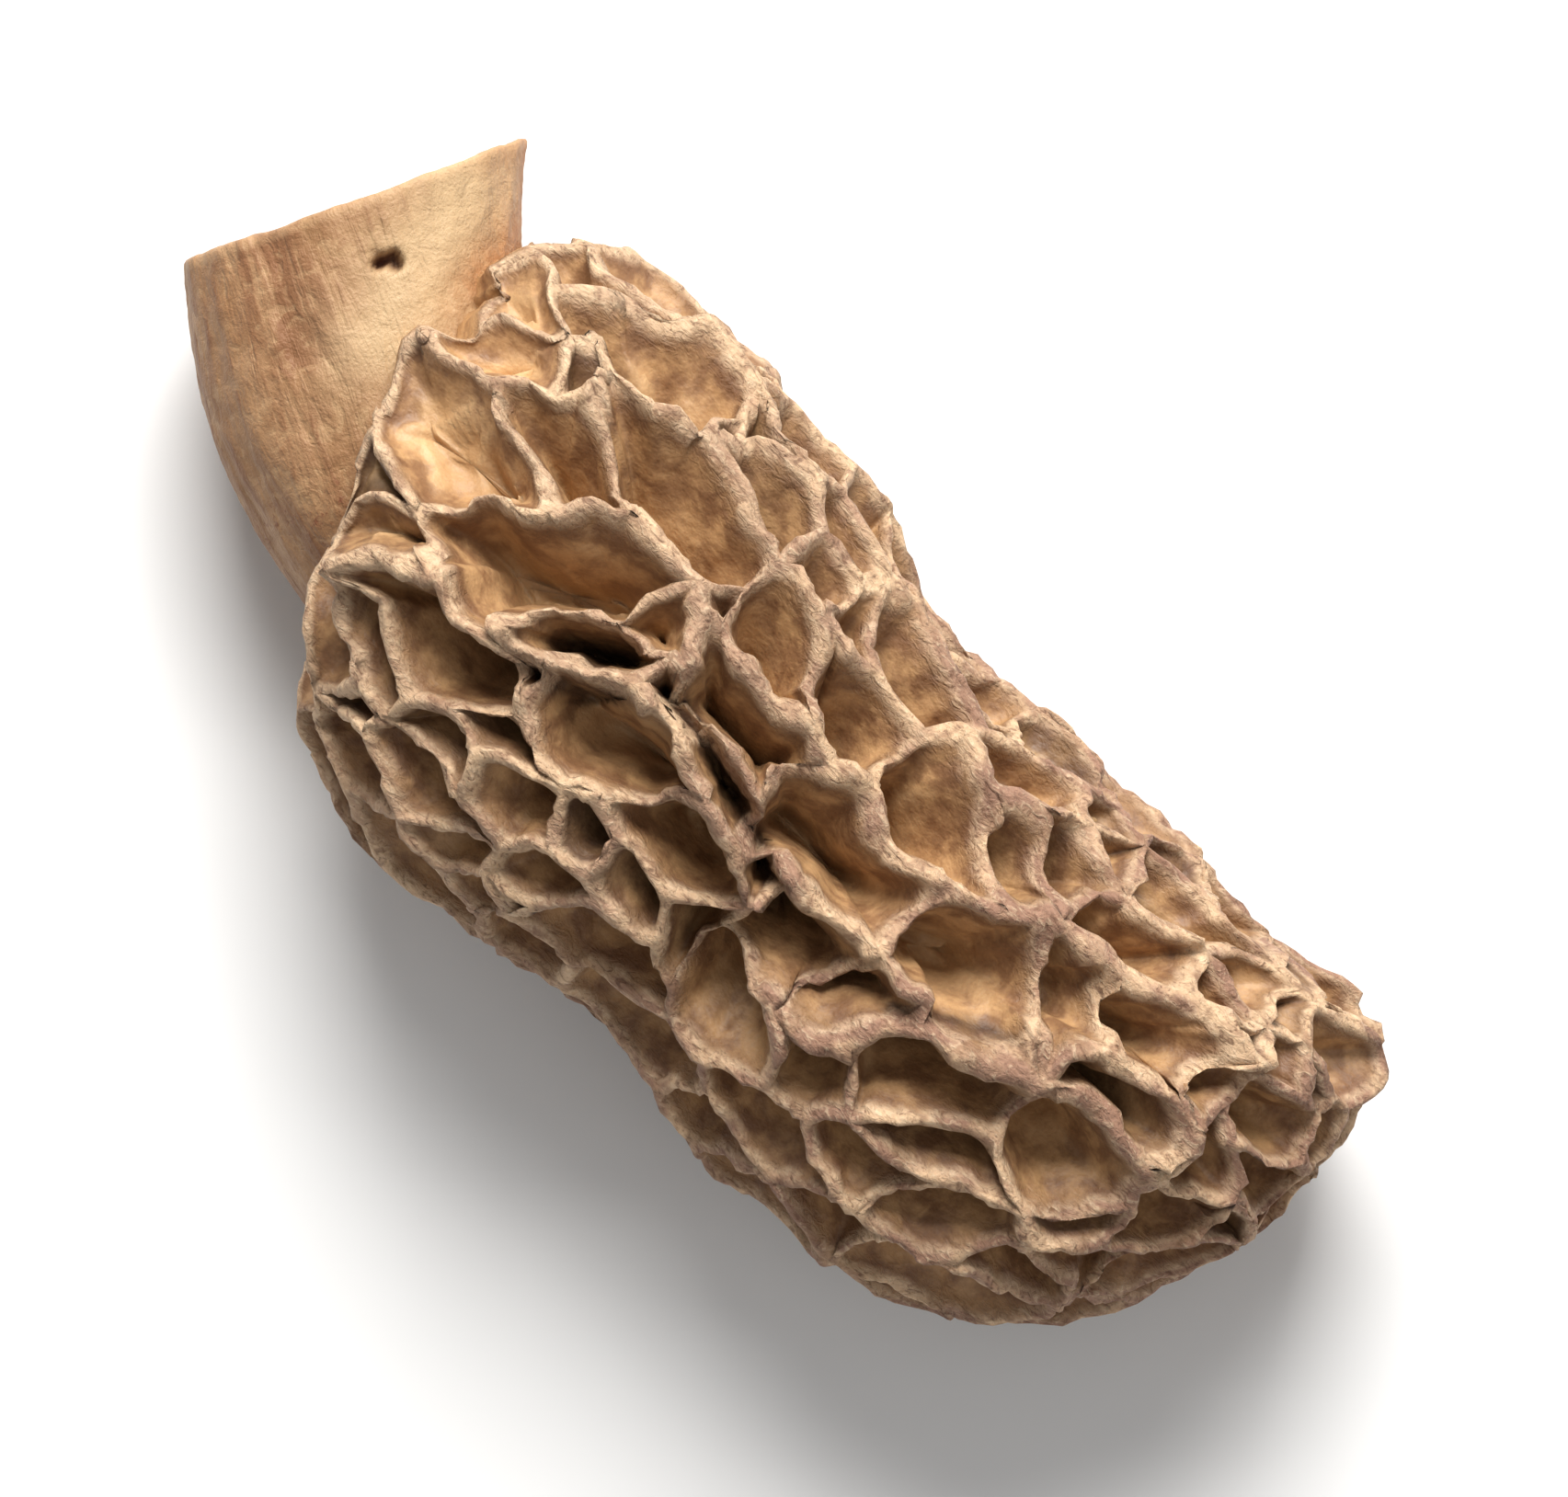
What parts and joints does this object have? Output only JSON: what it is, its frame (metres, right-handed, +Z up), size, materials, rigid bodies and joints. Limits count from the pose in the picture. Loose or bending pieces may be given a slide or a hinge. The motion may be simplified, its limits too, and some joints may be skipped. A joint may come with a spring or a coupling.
{
  "type": "dried morel mushroom",
  "caption": "Dried morel lying on its side: a long hollow cap covered by a raised net of ridges round deep pits, grown in one with a short hollow stem that is cut straight off.",
  "frame": {"origin": "middle of the bounding box, on the plane that the mushroom lies on", "axes": "+X along the cap from the stem to the tip, +Y to the cap's side that faces the stem's cut mouth, +Z up"},
  "size_m": [0.0668, 0.028, 0.0225],
  "materials": {
    "flesh": "dry, wrinkled and nearly dull"
  },
  "bodies": {
    "root": {"morel": "flesh"}
  },
  "joints": []
}
